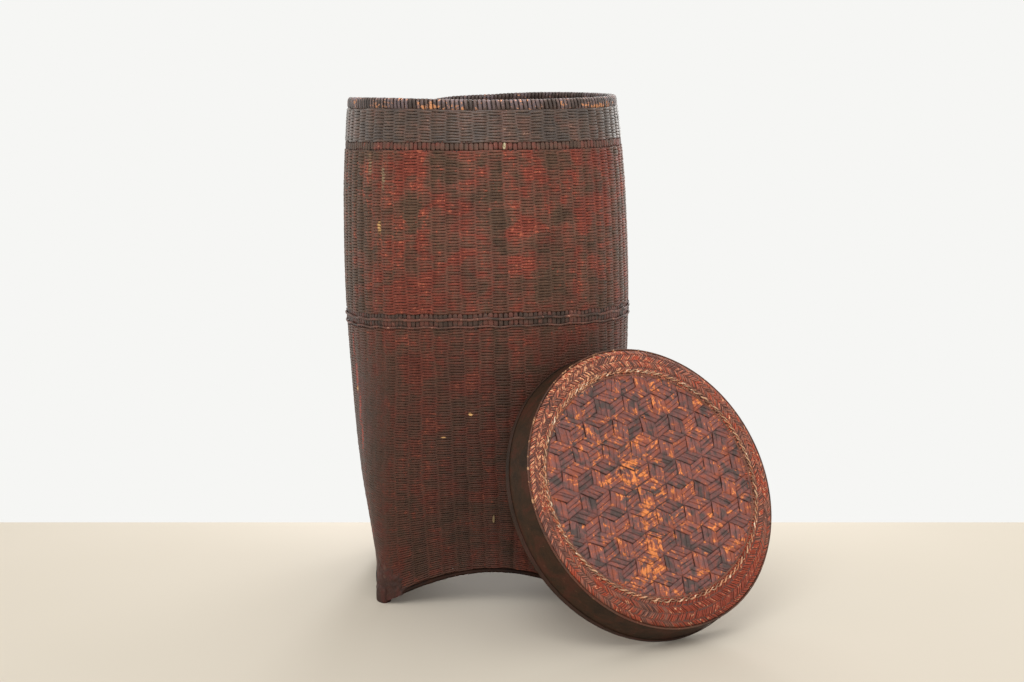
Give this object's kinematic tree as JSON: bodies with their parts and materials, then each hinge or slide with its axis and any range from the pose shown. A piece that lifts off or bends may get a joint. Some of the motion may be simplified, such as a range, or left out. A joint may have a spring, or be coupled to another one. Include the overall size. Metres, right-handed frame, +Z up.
{
  "type": "lidded basket",
  "caption": "Tall woven basket with a round mouth and a square footed base, its round cap lid leaning against its side.",
  "frame": {"origin": "centre of the set's footprint, basket and leaning lid together, on the surface that it stands on", "axes": "+Z up the basket; -Y is the front, towards the viewer of the picture; the lid leans on the basket's right front, +X and -Y"},
  "size_m": [0.4262, 0.4278, 0.5011],
  "materials": {
    "woven_wall": "dark red-brown lacquered bamboo weave, worn",
    "woven_base": "dark smoked bamboo weave",
    "edge_cord": "thick lacquered edge",
    "corner_stake": "lacquered stake and foot",
    "rim_hoop": "dark bamboo hoop",
    "rim_lashing": "close binding, dark with worn tan wraps",
    "ridge_strand": "dark strand",
    "peg": "bare split bamboo",
    "lid_panel": "purple-brown three-direction weave with orange wear",
    "lid_border": "orange-brown herringbone weave",
    "lid_strip": "orange-brown flat strip",
    "lid_stitch": "pale bare cane stitches",
    "lid_cane": "thin tan cane",
    "lid_band": "smooth dark lacquered band",
    "lid_lining": "plain inner weave"
  },
  "bodies": {
    "basket": {"wall_weave": "woven_wall", "base_weave": "woven_base", "base_edge_front": "edge_cord", "base_edge_right": "edge_cord", "base_edge_back": "edge_cord", "base_edge_left": "edge_cord", "corner_stake_front_left": "corner_stake", "corner_stake_front_right": "corner_stake", "corner_stake_back_right": "corner_stake", "corner_stake_back_left": "corner_stake", "rim_outer_hoop": "rim_hoop", "rim_inner_hoop": "rim_hoop", "rim_core_reed": "rim_hoop", "rim_lashing": "rim_lashing", "upper_ridge_strand": "ridge_strand", "middle_ridge_upper": "ridge_strand", "middle_ridge_lower": "ridge_strand", "upper_peg": "peg", "lower_peg": "peg"},
    "lid": {"lid_top_weave": "lid_panel", "lid_border_weave": "lid_border", "lid_ring_strip": "lid_strip", "lid_stitching": "lid_stitch", "lid_edge_cane": "lid_cane", "lid_side_band": "lid_band", "lid_open_edge_hoop": "lid_band", "lid_inner_hoop": "lid_lining", "lid_lining": "lid_lining"}
  },
  "joints": [
    {"name": "lid_lift", "type": "slide", "parent": "basket", "child": "lid", "axis": [0.1898, -0.2845, 0.9397], "range_m": [0, 0.4]}
  ]
}
